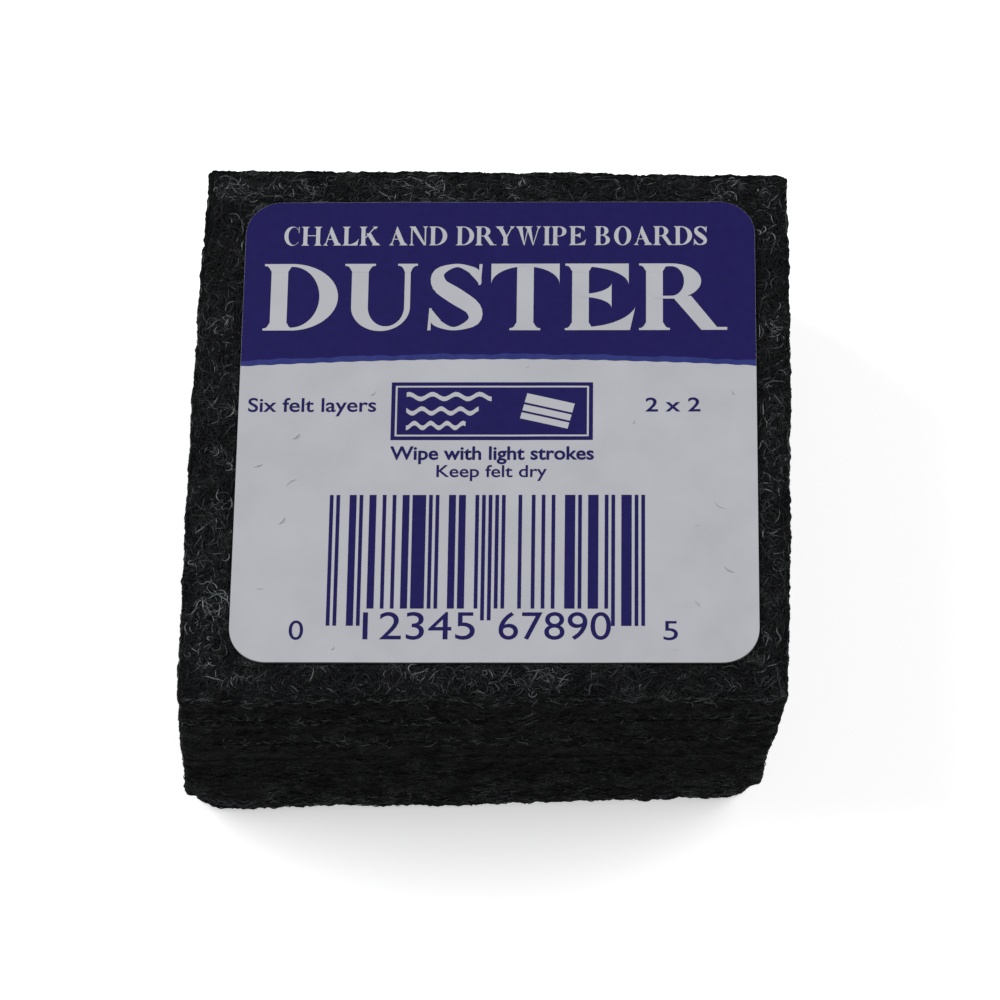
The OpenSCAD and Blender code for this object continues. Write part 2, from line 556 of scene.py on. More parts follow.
# %% Paths of fibres
def fibre_paths(starts, rng, length, curl, spread=math.pi):
    """Curly paths on a flat plane, as an array of count x FIBRE_POINTS x 2, in millimetres."""
    count = len(starts)
    angle = rng.uniform(-spread, spread, count) + math.pi * rng.integers(0, 2, count)
    steps = rng.uniform(*length, count) / (FIBRE_POINTS - 1)
    bend = rng.normal(0, curl, count)
    paths = np.zeros((count, FIBRE_POINTS, 2))
    paths[:, 0] = starts
    for k in range(1, FIBRE_POINTS):
        angle = angle + bend + rng.normal(0, curl * 0.6, count)
        step = np.stack([np.cos(angle), np.sin(angle)], axis=1)
        paths[:, k] = paths[:, k - 1] + step * steps[:, None]
    return paths


def lay_fibres(paths, surface, normals, rng, lift):
    """Lays flat paths on a surface: both ends just inside the felt, the middle lifted off it."""
    hump = np.sin(np.linspace(0, math.pi, FIBRE_POINTS))
    heights = rng.uniform(*lift, len(paths))[:, None] * hump[None, :] - 0.03
    points = [
        [surface(*place) + normal * height for place, height in zip(path, row)]
        for path, normal, row in zip(paths.tolist(), normals, heights.tolist())
    ]
    return np.array(points)


# %% A piece made of many fibres
def curve_to_mesh(holder):
    """The mesh of a curve object. Its section only counts while both are in the scene."""
    scene_objects = bpy.context.scene.collection.objects
    for visitor in (section, holder):
        scene_objects.link(visitor)
    mesh = bpy.data.meshes.new_from_object(holder.evaluated_get(bpy.context.evaluated_depsgraph_get()))
    for visitor in (section, holder):
        scene_objects.unlink(visitor)
    return mesh


def fibre_piece(name, points, shades, rng, radius=FIBRE_R):
    """One piece that holds all the fibres whose points are given."""
    curve = bpy.data.curves.new(name, "CURVE")
    curve.dimensions = "3D"
    curve.bevel_mode = "OBJECT"
    curve.bevel_object = section
    thin = 0.3 + 0.7 * np.sin(np.linspace(0.15, math.pi - 0.15, FIBRE_POINTS))
    widths = rng.uniform(THINNEST, THICKEST, len(points)) * radius
    four = np.ones((FIBRE_POINTS, 4))
    for path, width in zip(points, widths):
        spline = curve.splines.new("POLY")
        spline.points.add(FIBRE_POINTS - 1)
        four[:, :3] = path
        spline.points.foreach_set("co", four.ravel())
        spline.points.foreach_set("radius", thin * width)
    holder = bpy.data.objects.new(name, curve)
    mesh = curve_to_mesh(holder)
    bpy.data.objects.remove(holder)
    bpy.data.curves.remove(curve)
    # A bmesh closes the open ends.
    bm = bmesh.new()
    bm.from_mesh(mesh)
    bmesh.ops.holes_fill(bm, edges=[e for e in bm.edges if e.is_boundary], sides=3)
    bmesh.ops.recalc_face_normals(bm, faces=bm.faces[:])
    bm.to_mesh(mesh)
    bm.free()
    per_fibre = len(mesh.vertices) // len(points)
    shade = mesh.attributes.new("shade", "FLOAT", "POINT")
    shade.data.foreach_set("value", np.repeat(shades, per_fibre).astype(np.float32))
    mesh.polygons.foreach_set("use_smooth", [True] * len(mesh.polygons))
    piece = add_piece(name, mesh, wool_fibre)
    print(name, len(points), "fibres,", len(mesh.polygons), "faces,", per_fibre, "points each")
    return piece


def tuft(x, y, z, seed):
    """0 to 1: how much fibre gathers at a place."""
    value = 0.5 + 0.9 * wander(x, y, z, 0.28, seed) + 0.6 * wander(x, y, z, 0.8, seed + 1)
    return max(0.0, min(1.0, value))


# %% Fibres on the top margin and on the wiping face
FACE_FIBRES, FACE_FIBRE_R = 4700, 0.065
# Fibres that lie flat on a face catch more light than those on the cut sides.
FACE_SHADE = 0.47
# Painted shade on the front margin's fibres: their factor at the front, and the span in y over which it fades
# out.
FRONT_PAINTED_SHADE, FRONT_MARGIN = 0.93, (-22.5, -18.0)
FACE_LENGTHS, FACE_CURL = (0.6, 2.2), 0.3
EDGE = 0.497


def on_label(x, y, margin):
    """Whether a place is under the label, less a margin all round."""
    return max(abs(x - LABEL_X), abs(y - LABEL_Y)) < LABEL_SIDE / 2 - margin


def face_fibres(name, ply, s, seed, lift, keep_off_label):
    """Fibres scattered on the top or the wiping face, gathered in tufts."""
    rng = np.random.default_rng(seed)

    def surface(x, y):
        u, w = (max(-EDGE, min(EDGE, c / SIDE)) for c in (x, y))
        return ply_point(ply, u, w, s)

    starts, crowd = [], []
    while len(starts) < FACE_FIBRES:
        x, y = (rng.uniform(-EDGE, EDGE, 2) * SIDE).tolist()
        gathered = tuft(x, y, 0, seed)
        if rng.random() > gathered or (keep_off_label and on_label(*surface(x, y).xy, -0.2)):
            continue
        starts.append((x, y))
        crowd.append(gathered)
    paths = fibre_paths(np.array(starts), rng, FACE_LENGTHS, FACE_CURL)
    normals = [Vector((0, 0, 1 if s else -1))] * len(paths)
    points = lay_fibres(paths, surface, normals, rng, lift)
    shades = FACE_SHADE + (1 - FACE_SHADE) * rng.beta(1.1, 1.5, len(paths)) * (0.25 + np.array(crowd))
    # The fibres on the front margin are painted darker towards the front edge: painted shade, where
    # the light falls off towards the front.
    shades *= np.interp(paths[:, 0, 1], FRONT_MARGIN, (FRONT_PAINTED_SHADE, 1.0))
    inside = np.abs(paths).max(axis=(1, 2)) < EDGE * SIDE
    if keep_off_label:
        inside &= np.array([not any(on_label(p[0], p[1], -0.05) for p in path) for path in points])
    else:
        points[:, :, 2] = np.maximum(points[:, :, 2], THICKEST * FACE_FIBRE_R)
    return fibre_piece(name, points[inside], np.clip(shades[inside], 0, 1), rng, FACE_FIBRE_R)


face_fibres("top_fibres_1", 1, 1.0, 11, (0.04, 0.16), True)
face_fibres("top_fibres_2", 1, 1.0, 13, (0.04, 0.12), True)
face_fibres("wiping_face_fibres", PLIES, 0.0, 12, (0.04, 0.1), False)

# %% Fibres on the four cut sides
SIDES = {"front": (0, -1), "right": (1, 0), "back": (0, 1), "left": (-1, 0)}
PLY_TOPS = [PLY_BOXES[i][1].z for i in range(1, PLIES + 1)]
# how many, how far above or below a ply's top, how pale, how far they lift, on which plies
SIDE_KINDS = [
    (2400, (-3.4, 0.0), 0.20, (0.04, 0.11), range(1, PLIES + 1)),
    # Pale fibres at the ledges of plies 2 and 3: painted highlight, where the ledges catch light.
    (900, (-0.3, 0.7), 0.55, (0.04, 0.13), (2, 3)),
    (600, (-0.2, 0.2), 0.20, (0.08, 0.15), range(2, PLIES + 1)),
    # Pale fibres along the top arris: painted highlight, where the edge catches light.
    (400, (-0.6, -0.1), 0.60, (0.04, 0.11), (1,)),
    (500, (-3.4, -0.8), 0.60, (0.04, 0.11), (PLIES,)),
]
SIDE_LENGTHS, SIDE_CURL, SIDE_SPREAD = (0.5, 1.7), 0.18, 0.5
# How much more strongly the fibres take the painted light and shade by height, and the palest that a fibre on
# a side may be.
PAINTED_LIGHT_ON_FIBRES, PALEST_ON_SIDE = 2.2, 0.86


def wall_point(facing, along, z):
    """A point of a cut side at a height z, whichever ply that is in."""
    z = max(0.1, min(BLOCK_TOP - 0.05, z))
    ply = min(PLIES, sum(top > z for top in PLY_TOPS))
    low, high = PLY_BOXES[ply]
    share = max(0.0, min(1.0, (z - low.z) / (high.z - low.z)))
    along = max(-EDGE, min(EDGE, along / SIDE))
    u = along if facing[0] == 0 else 0.5 * facing[0]
    w = along if facing[1] == 0 else 0.5 * facing[1]
    return ply_point(ply, u, w, math.acos(1 - 2 * share) / math.pi)


def side_fibres(name, facing, seed):
    """Short fibres on one cut side: all over, at the ledges, across the seams, and at the hem."""
    rng = np.random.default_rng(seed)
    normal = Vector((facing[0], facing[1], 0))
    points, shades = [], []
    for count, reach, pale, lift, plies in SIDE_KINDS:
        tops = np.array([PLY_TOPS[ply - 1] for ply in rng.choice(list(plies), count)])
        along = rng.uniform(-EDGE, EDGE, count) * SIDE
        starts = np.stack([along, tops + rng.uniform(*reach, count)], axis=1)
        # These mostly run along the side, as the knife left them.
        paths = fibre_paths(starts, rng, SIDE_LENGTHS, SIDE_CURL, SIDE_SPREAD)
        points.append(lay_fibres(paths, partial(wall_point, facing), [normal] * count, rng, lift))
        # Painted light and shade by height, as on the felt itself.
        tones = PAINTED_LIGHT_ON_FIBRES * np.interp(starts[:, 1], LIGHT_AND_SHADE_HEIGHTS, PAINTED_LIGHT_AND_SHADE)
        crowds = np.array([tuft(x, 0, z, seed) for x, z in starts.tolist()])
        shades.append(rng.beta(1.2, 1.6, count) * (pale + 0.5 * crowds) * tones)
    points = np.concatenate(points)
    points[:, :, 2] = np.maximum(points[:, :, 2], THICKEST * FIBRE_R)
    return fibre_piece(name, points, np.clip(np.concatenate(shades), 0, PALEST_ON_SIDE), rng)


for seed, (side_name, facing) in enumerate(SIDES.items()):
    side_fibres(f"{side_name}_fibres", facing, 30 + seed)

# %% [markdown]
# ## The paper label
# The label is coated paper, 0.11 mm thick, pressed onto uneven felt, so it is not quite flat.
# It is a fine grid with round corners that follows a gentle, smooth rise and fall.
# Everything printed on it follows the same surface, a hair's breadth higher.

# %% Label surface
PAPER_THICK = label_high.z - label_low.z
LABEL_R = 3.2
LABEL_CELLS = 110
INK_LIFT = 0.012


def paper_height(x, y):
    """Height of the label's upper face above its lowest level, at a place on the label."""
    rise = 0.5 + 0.5 * noise.noise(Vector((x * 0.09, y * 0.09, 5.0)))
    return 0.10 * rise + 0.03 * (0.5 + 0.5 * noise.noise(Vector((x * 0.35, y * 0.35, 9.0))))


def on_paper(x, y, lift):
    """A place on the label, in the block's frame; x and y are from the label's centre."""
    return Vector((LABEL_X + x, LABEL_Y + y, label_high.z + paper_height(x, y) + lift))


def mottled(name, dark, light, patch_mm, roughness, specular, grain_mm, grain_depth_mm):
    """A smooth coating whose colour drifts between two tones, with a fine grain in its surface."""
    material, tree, shader = new_material(name)
    place = add_node(tree, "ShaderNodeTexCoord").outputs["Object"]
    drift, grain = (
        add_node(tree, "ShaderNodeTexNoise", {"Vector": place, "Scale": 1 / (size * MM), "Detail": detail})
        for size, detail in ((patch_mm, 3.0), (grain_mm, 2.0))
    )
    stops = [(0.32, srgb(dark)), (0.68, srgb(light))]
    ramp = add_node(tree, "ShaderNodeValToRGB", {"Fac": drift.outputs["Fac"]}, stops=stops)
    bump = add_node(
        tree, "ShaderNodeBump",
        {"Height": grain.outputs["Fac"], "Strength": 0.2, "Distance": grain_depth_mm * MM},
    )
    tree.links.new(ramp.outputs["Color"], shader.inputs["Base Color"])
    tree.links.new(bump.outputs["Normal"], shader.inputs["Normal"])
    shader.inputs["Roughness"].default_value = roughness
    shader.inputs["Specular IOR Level"].default_value = specular
    shader.inputs["IOR"].default_value = 1.5
    return material


# Coated paper is smooth and slightly bluish from its brightener, with a faint drift in tone.
paper = mottled("coated label paper", "#bcbdc3", "#c3c4ca", 4.0, 0.5, 0.5, 0.17, 0.01)
# Where a fibre lifts the paper, its slopes lie in shade, so this paper is painted greyer: painted shade.
shadowed_paper = mottled("paper with painted shade over a stray fibre", "#a3a5aa", "#adafb4", 0.5, 0.5, 0.5, 0.17, 0.01)
# A solid print is even, with the faint mottle that ink leaves on paper, and little gloss.
blue_ink = mottled("navy printing ink", "#1c1757", "#201b5d", 0.67, 0.45, 0.2, 0.17, 0.005)
pale_ink = mottled("mid blue printing ink", "#2e3579", "#363d82", 0.67, 0.45, 0.2, 0.17, 0.005)
print(f"the paper is {PAPER_THICK:.2f} mm thick and lies {paper_height(0, 0):.2f} mm up at its middle")

# %% The sheet of paper
bm = unit_slab(LABEL_CELLS, 2)
for v in bm.verts:
    s = v.co.z
    x, y = round_corner(v.co.x * LABEL_SIDE, v.co.y * LABEL_SIDE, LABEL_SIDE / 2, LABEL_R)
    v.co = on_paper(x, y, (s - 1) * PAPER_THICK)
    if s == 0:
        v.co.z = label_low.z
label_piece = add_piece("paper_label", mesh_from(bm, "paper_label"), paper)
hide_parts("label_face")
print("label", len(label_piece.data.polygons), "faces")

# %% [markdown]
# ## Printing
# Ink has no thickness that the eye can see, but giving it its own thin meshes keeps every edge
# sharp at any size. A band is a grid whose columns run from a lower to an upper edge, each a
# formula. Small lettering comes from the built-in font. Every other print is sliced by a grid
# of cuts, so that it can bend with the paper.

# %% Bands of ink
HALF = LABEL_SIDE / 2
INK_GAP = 0.015


def ink_band(name, lower, upper, material, lift, columns=160, rows=24, half=HALF - INK_GAP):
    """Ink between two edges that are functions of x; columns crowd towards the label's ends."""
    bm = bmesh.new()
    bmesh.ops.create_grid(bm, x_segments=columns, y_segments=rows, size=0.5)
    for v in bm.verts:
        x = half * math.sin(math.pi * v.co.x)
        share = v.co.y + 0.5
        y = lower(x) + (upper(x) - lower(x)) * share
        v.co = on_paper(x, y, lift)
    print(name, len(bm.faces), "faces")
    return add_piece(name, mesh_from(bm, name), material)


def top_edge(x):
    """The label's round-cornered top edge, less the small gap to the ink."""
    radius, inner = LABEL_R - INK_GAP, HALF - LABEL_R
    over = max(0.0, abs(x) - inner)
    return inner + math.sqrt(max(0.0, radius**2 - over**2))


ARC_MIDDLE, ARC_DROP, SCALLOP, STRIPE = 6.57, 0.66, 0.03, 0.5


def arc(x):
    """The gently curved lower edge of the header."""
    return ARC_MIDDLE - ARC_DROP * (x / HALF) ** 2 + SCALLOP * math.sin(x * 3.6)


def stripe_top(x):
    """The wavy upper edge of the lighter stripe that runs along the header's lower edge."""
    return arc(x) + STRIPE + 0.05 * math.sin(x * 0.9) + 0.03 * math.sin(x * 2.3)


ink_band("header_ink", arc, top_edge, blue_ink, INK_LIFT)
ink_band("header_stripe", arc, stripe_top, pale_ink, 1.6 * INK_LIFT, rows=2)

# %% Laying prints on the paper
def bend_to_paper(bm, lift):
    """Slices a flat print into small pieces and lays it on the paper."""
    step = 1.0
    for axis in (0, 1):
        values = [v.co[axis] for v in bm.verts]
        cut = math.ceil(min(values) / step) * step
        while cut < max(values):
            centre, normal = [0, 0, 0], [0, 0, 0]
            centre[axis], normal[axis] = cut, 1
            geometry = bm.verts[:] + bm.edges[:] + bm.faces[:]
            bmesh.ops.bisect_plane(bm, geom=geometry, plane_co=centre, plane_no=normal)
            cut += step
    for v in bm.verts:
        v.co = on_paper(v.co.x, v.co.y, lift + v.co.z)
    bm.normal_update()
    bmesh.ops.reverse_faces(bm, faces=[f for f in bm.faces if f.normal.z < 0])


def print_piece(name, bm, material, lift=INK_LIFT):
    """A flat print becomes a piece that lies on the paper."""
    bend_to_paper(bm, lift)
    print(name, len(bm.faces), "faces")
    return add_piece(name, mesh_from(bm, name), material)


# %% Lettering from the built-in font
def letters(words, weight):
    """A flat bmesh of some words, one unit high, before they are fitted to the label."""
    curve = bpy.data.curves.new("words", "FONT")
    curve.body = words
    curve.offset = weight
    curve.resolution_u = 8
    holder = bpy.data.objects.new("words", curve)
    mesh = bpy.data.meshes.new_from_object(holder)
    bpy.data.objects.remove(holder)
    bm = bmesh.new()
    bm.from_mesh(mesh)
    bpy.data.meshes.remove(mesh)
    bmesh.ops.remove_doubles(bm, verts=bm.verts, dist=1e-5)
    return bm


plain_h = letters("H", 0.0)
FONT_CAP = max(v.co.y for v in plain_h.verts)
plain_h.free()
print(f"the built-in font's capitals are {FONT_CAP:.3f} of its size")


def fit(bm, left, right, baseline, cap_height, weight):
    """Scales and moves letters between two margins of the label."""
    low_x, high_x = min(v.co.x for v in bm.verts), max(v.co.x for v in bm.verts)
    width, height = (right - left) / (high_x - low_x), cap_height / (FONT_CAP + 2 * weight)
    bmesh.ops.translate(bm, vec=(-low_x, weight, 0), verts=bm.verts)
    bmesh.ops.scale(bm, vec=(width, height, 1), verts=bm.verts)
    bmesh.ops.translate(bm, vec=(left, baseline, 0), verts=bm.verts)
    return width / height


def lettering(name, words, left, right, baseline, cap_height, weight=0.0):
    """Words in the built-in font, printed in navy between two margins."""
    bm = letters(words, weight)
    shape = fit(bm, left, right, baseline, cap_height, weight)
    print(f"{name}: letters are {shape:.2f} times as wide as the font draws them")
    return print_piece(name, bm, blue_ink)


lettering("material_line", "Six felt layers", -21.4, -10.4, 1.45, 1.35, 0.012)
lettering("size_line", "2 x 2", 12.7, 17.4, 1.45, 1.35, 0.012)
lettering("use_line", "Wipe with light strokes", -9.1, 8.3, -3.2, 1.3, 0.022)
lettering("care_line", "Keep felt dry", -5.1, 4.3, -4.85, 1.15, 0.010)

# %% [markdown]
# ## Roman capitals
# The two headlines on the real label are roman capitals: upright strokes are heavy, level ones
# are thin, and every stroke ends in a serif. The built-in font has neither, so the letters are
# drawn here as a sign writer would: each is a few strokes, and each stroke is a strip of print
# whose points follow a formula. Lengths are shares of the height of a capital.

# %% Straight strokes
HEAVY, LIGHT, THIN, REACH = 0.215, 0.075, 0.042, 0.09
SERIF_EDGE, BRACKET = 0.03, 0.10


def upright(low, high, y_low=0.0, y_high=1.0):
    """A straight stroke between two levels; low and high are its left and right edge there."""
    def place(t, side):
        left, right = (low[i] + (high[i] - low[i]) * t for i in (0, 1))
        return left + (right - left) * side, y_low + (y_high - y_low) * t
    return 1, place


def serif(x, half, at_top=False):
    """A foot or a head: a thin slab that swells into a stroke that is 2 * half wide."""
    def place(t, side):
        across = (2 * t - 1) * (half + REACH)
        outside = max(0.0, abs(across) - half) / REACH
        y = side * (SERIF_EDGE + BRACKET * (1 - outside) ** 3)
        return x + across, 1 - y if at_top else y
    return 20, place


def bar(x_from, x_to, y, up=0.0, down=0.0, lean=0.0):
    """A thin level stroke that may end in a beak, which points up, down or both ways."""
    def place(t, side):
        # The beak's inner edge is a quarter of an ellipse.
        level, turn = math.sin(math.pi * t / 2), 1 - math.cos(math.pi * t / 2)
        rise = side * (THIN / 2 + up * turn) - (1 - side) * (THIN / 2 + down * turn)
        return x_from + (x_to - x_from) * level + lean * rise * turn, y + rise
    return 16, place


def stem(x, width=HEAVY, foot=True, head=True):
    """An upright with its serifs."""
    strips = [upright((x - width / 2, x + width / 2), (x - width / 2, x + width / 2))]
    if foot:
        strips.append(serif(x, width / 2, at_top=False))
    if head:
        strips.append(serif(x, width / 2, at_top=True))
    return strips


# %% Round strokes
def bowl(x, y, wide, high, left=HEAVY, right=HEAVY, start=-90, end=90, thin=THIN):
    """Part of an upright ellipse, heavy at its sides and thin at its top and bottom."""
    def place(t, side):
        angle = math.radians(start + (end - start) * t)
        inner_x, inner_wide = x + (left - right) / 2, wide - (left + right) / 2
        outer = Vector((x + wide * math.cos(angle), y + high * math.sin(angle)))
        inner = Vector((inner_x + inner_wide * math.cos(angle), y + (high - thin) * math.sin(angle)))
        return inner.lerp(outer, side)
    return 32, place


def spine(keys):
    """A smooth stroke through keys of x, y and width: a Catmull-Rom curve."""
    def along(t):
        at = t * (len(keys) - 1)
        k = min(int(at), len(keys) - 2)
        f = at - k
        a, b, c, d = (Vector(keys[max(0, min(len(keys) - 1, k + i))]) for i in (-1, 0, 1, 2))
        return b + 0.5 * f * (c - a + f * (2 * a - 5 * b + 4 * c - d + f * (3 * (b - c) + d - a)))

    def place(t, side):
        here, ahead = along(t), along(t + 0.001) - along(t - 0.001)
        normal = Vector((-ahead.y, ahead.x)).normalized()
        return here.xy + normal * here.z * (side - 0.5)
    return 48, place


# %% The alphabet
TOP_BAR, LOW_BAR, MIDDLE = 1 - THIN / 2, THIN / 2, 0.52
S_KEYS = [
    (0.69, 0.70, 0.03), (0.632, 0.85, 0.12), (0.54, 0.925, 0.09), (0.37, 0.975, 0.05), (0.16, 0.87, 0.14),
    (0.17, 0.68, 0.21), (0.38, 0.51, 0.24), (0.60, 0.33, 0.21), (0.61, 0.14, 0.15), (0.38, 0.025, 0.05),
    (0.20, 0.075, 0.09), (0.108, 0.16, 0.12), (0.055, 0.31, 0.03),
]
# Each letter is its width, and its strokes.
ROMAN = {
    "A": (1.02, [upright((0.675, 0.925), (0.351, 0.601), 0, 0.712),
                 upright((0.351, 0.601), (0.44, 0.47), 0.712),
                 upright((0.13, 0.19), (0.33, 0.39), 0, 0.65), bar(0.22, 0.62, 0.33),
                 serif(0.16, 0.03), serif(0.80, 0.125)]),
    "B": (0.95, stem(0.2) + [bowl(0.42, 0.76, 0.32, 0.24), bowl(0.42, 0.27, 0.40, 0.27),
                             bar(0.2, 0.42, TOP_BAR), bar(0.2, 0.42, MIDDLE), bar(0.2, 0.42, LOW_BAR)]),
    "C": (0.92, [bowl(0.47, 0.5, 0.43, 0.51, HEAVY, 0.05, 42, 320),
                 upright((0.80, 0.83), (0.80, 0.84), 0.66, 0.99)]),
    "D": (0.98, stem(0.2) + [bowl(0.36, 0.5, 0.60, 0.5, 0.24, 0.24),
                             bar(0.2, 0.36, TOP_BAR), bar(0.2, 0.36, LOW_BAR)]),
    "E": (0.90, stem(0.2) + [bar(0.2, 0.82, TOP_BAR, down=0.28), bar(0.2, 0.60, MIDDLE, 0.17, 0.17),
                             bar(0.2, 0.84, LOW_BAR, up=0.30, lean=0.2)]),
    "H": (1.08, stem(0.2) + stem(0.88) + [bar(0.2, 0.88, MIDDLE)]),
    "I": (0.40, stem(0.2)),
    "K": (1.10, stem(0.2) + [upright((0.27, 0.35), (0.80, 0.88), 0.40), serif(0.84, 0.04, True),
                             upright((0.77, 1.02), (0.36, 0.61), 0, 0.64), serif(0.895, 0.125)]),
    "L": (0.86, stem(0.2) + [bar(0.2, 0.80, LOW_BAR, up=0.34, lean=0.2)]),
    "N": (1.06, stem(0.17, LIGHT) + stem(0.90, LIGHT, foot=False)
          + [upright((0.82, 0.937), (0.10, 0.36))]),
    "O": (1.02, [bowl(0.5, 0.5, 0.46, 0.51, 0.23, 0.23, 0, 360)]),
    "P": (0.90, stem(0.2) + [bowl(0.42, 0.73, 0.38, 0.27, 0.22, 0.22),
                             bar(0.2, 0.42, TOP_BAR), bar(0.2, 0.42, 0.48)]),
    "R": (1.06, stem(0.2) + [bowl(0.42, 0.735, 0.38, 0.265, 0.22, 0.22),
                             bar(0.2, 0.42, TOP_BAR), bar(0.2, 0.45, 0.49),
                             upright((0.80, 1.03), (0.42, 0.67), 0, 0.51), bar(0.92, 1.13, LOW_BAR)]),
    "S": (0.76, [spine(S_KEYS), upright((0.665, 0.695), (0.675, 0.715), 0.68, 0.995),
                 upright((0.02, 0.06), (0.04, 0.07), 0, 0.33)]),
    "T": (0.92, stem(0.46, head=False) + [bar(0.46, 0.90, TOP_BAR, down=0.27),
                                          bar(0.46, 0.02, TOP_BAR, down=0.27)]),
    "U": (1.02, [upright((0.1025, 0.3175), (0.1025, 0.3175), 0.34),
                 upright((0.785, 0.86), (0.785, 0.86), 0.34),
                 bowl(0.48125, 0.35, 0.37875, 0.36, HEAVY, LIGHT, 180, 360, 0.07),
                 serif(0.21, HEAVY / 2, True), serif(0.8225, LIGHT / 2, True)]),
    "W": (1.40, [upright((0.42, 0.46), (0.08, 0.33)), upright((0.42, 0.46), (0.63, 0.69)),
                 upright((0.90, 0.94), (0.54, 0.79)), upright((0.90, 0.94), (1.19, 1.25)),
                 serif(0.205, 0.125, True), serif(0.665, 0.125, True), serif(1.22, 0.03, True)]),
    "Y": (1.02, [upright((0.3925, 0.6075), (0.3925, 0.6075), 0, 0.45),
                 upright((0.3925, 0.6075), (0.07, 0.32), 0.44),
                 upright((0.53, 0.6075), (0.83, 0.90), 0.44), serif(0.5, HEAVY / 2),
                 serif(0.195, 0.125, True), serif(0.865, 0.035, True)]),
}

print("capitals drawn:", "".join(ROMAN))

# %% The headlines
STROKE_LIFT, LETTER_GAP, WORD_GAP = 0.003, 0.05, 0.36


def headline(name, words, left, right, baseline, cap_height):
    """Roman capitals between two margins. Strokes that cross lie a hair apart."""
    bm = bmesh.new()
    at = 0.0
    for letter in words:
        width, strips = ROMAN.get(letter, (WORD_GAP, []))
        for k, (columns, place) in enumerate(strips):
            for v in bmesh.ops.create_grid(bm, x_segments=columns, y_segments=1, size=0.5)["verts"]:
                x, y = place(v.co.x + 0.5, v.co.y + 0.5)
                v.co = (at + x, y, k * STROKE_LIFT)
        at += width + LETTER_GAP
    low_x, high_x = min(v.co.x for v in bm.verts), max(v.co.x for v in bm.verts)
    bmesh.ops.translate(bm, vec=(-low_x, 0, 0), verts=bm.verts)
    bmesh.ops.scale(bm, vec=((right - left) / (high_x - low_x), cap_height, 1), verts=bm.verts)
    bmesh.ops.translate(bm, vec=(left, baseline, 0), verts=bm.verts)
    stretch = (right - left) / (high_x - low_x) / cap_height
    print(f"{name}: letters are {stretch:.2f} times as wide as they are drawn")
    return print_piece(name, bm, paper, 2 * INK_LIFT)


headline("kind_line", "CHALK AND DRYWIPE BOARDS", -18.85, 18.05, 17.85, 1.9)
headline("headline", "DUSTER", -20.45, 19.75, 9.4, 6.6)

# %% [markdown]
# ## Barcode
# A retail code is bars and gaps, each one to four modules wide, and a digit is two of each.
# This one says only the running digits and their check digit. Its guard bars reach lower.

# %% Barcode
MODULE = 0.2815
BARS_LEFT = -14.1
BARS_TOP, BARS_BOTTOM, GUARD_BOTTOM, CENTRE_BOTTOM = -6.55, -17.25, -18.85, -18.35
INK_SPREAD = 0.03
SAMPLE_NUMBER = "012345678905"
DIGIT_WIDTHS = ["3211", "2221", "2122", "1411", "1132", "1231", "1114", "1312", "1213", "3112"]


def bar_modules(number):
    """Black bars of a retail code, as (first module, width, which group it belongs to)."""
    bars, at = [], 0
    digits = [("digit", DIGIT_WIDTHS[int(d)]) for d in number]
    guard, centre = [("guard", "111")], [("centre", "11111")]
    runs = guard + digits[:6] + centre + digits[6:] + guard
    for order, (group, widths) in enumerate(runs):
        # A guard starts with a bar. So does a digit in the right half.
        black = group == "guard" or (group == "digit" and order > 7)
        # The first and the last digit are as tall as the guards.
        tall = "guard" if order in (0, 1, len(runs) - 2, len(runs) - 1) else group
        for width in map(int, widths):
            if black:
                bars.append((at, width, tall))
            at += width
            black = not black
    return bars, at


bars, modules = bar_modules(SAMPLE_NUMBER)
bm = bmesh.new()
for first, width, group in bars:
    bottom = {"guard": GUARD_BOTTOM, "centre": CENTRE_BOTTOM, "digit": BARS_BOTTOM}[group]
    bar_verts = bmesh.ops.create_grid(bm, x_segments=1, y_segments=1, size=0.5)["verts"]
    # Ink spreads a little, so a bar is slightly wider than its modules.
    bmesh.ops.scale(bm, vec=(width * MODULE + INK_SPREAD, BARS_TOP - bottom, 1), verts=bar_verts)
    middle = BARS_LEFT + (first + width / 2) * MODULE
    bmesh.ops.translate(bm, vec=(middle, (BARS_TOP + bottom) / 2, 0), verts=bar_verts)
print_piece("barcode", bm, blue_ink)
print("barcode:", len(bars), "bars,", modules, "modules")

DIGIT_H, SMALL_DIGIT_H = 2.5, 1.75
lettering("code_left", SAMPLE_NUMBER[1:6], -11.0, -1.6, -20.1, DIGIT_H)
lettering("code_right", SAMPLE_NUMBER[6:11], 0.4, 9.8, -20.1, DIGIT_H)
lettering("code_first", SAMPLE_NUMBER[0], -17.2, -16.0, -20.15, SMALL_DIGIT_H)
lettering("code_check", SAMPLE_NUMBER[11], 14.2, 15.4, -20.15, SMALL_DIGIT_H)

# %% [markdown]
# ## Pictogram
# The middle of the label has a dark block of print. Here it is a plain pictogram: a board with
# three chalk lines, and a layered block that has wiped the rest of the board clean.

# %% Board and block
# left, right, low, high
BOARD = (-9.1, 8.2, -1.3, 4.3)
RULE, RULE_INSET = 0.16, 0.35
CHALK_LEFT, CHALK_RIGHT, CHALK_HALF, CHALK_ROWS = -7.8, -0.5, 0.22, (2.9, 1.5, 0.1)
BLOCK_HALF, BLOCK_TILT, BLOCK_PLACE = 2.1, -14, (4.3, 1.5, 0)
BLOCK_LAYERS = ((0.35, 1.25), (-0.45, 0.15), (-1.25, -0.65))


def patch(bm, left, right, low, high, lift=0.0, columns=1):
    """A flat rectangle of print."""
    verts = bmesh.ops.create_grid(bm, x_segments=columns, y_segments=1, size=0.5)["verts"]
    for v in verts:
        v.co = (left + (v.co.x + 0.5) * (right - left), low + (v.co.y + 0.5) * (high - low), lift)
    return verts


bm = bmesh.new()
patch(bm, *BOARD)
print_piece("pictogram_board", bm, blue_ink)

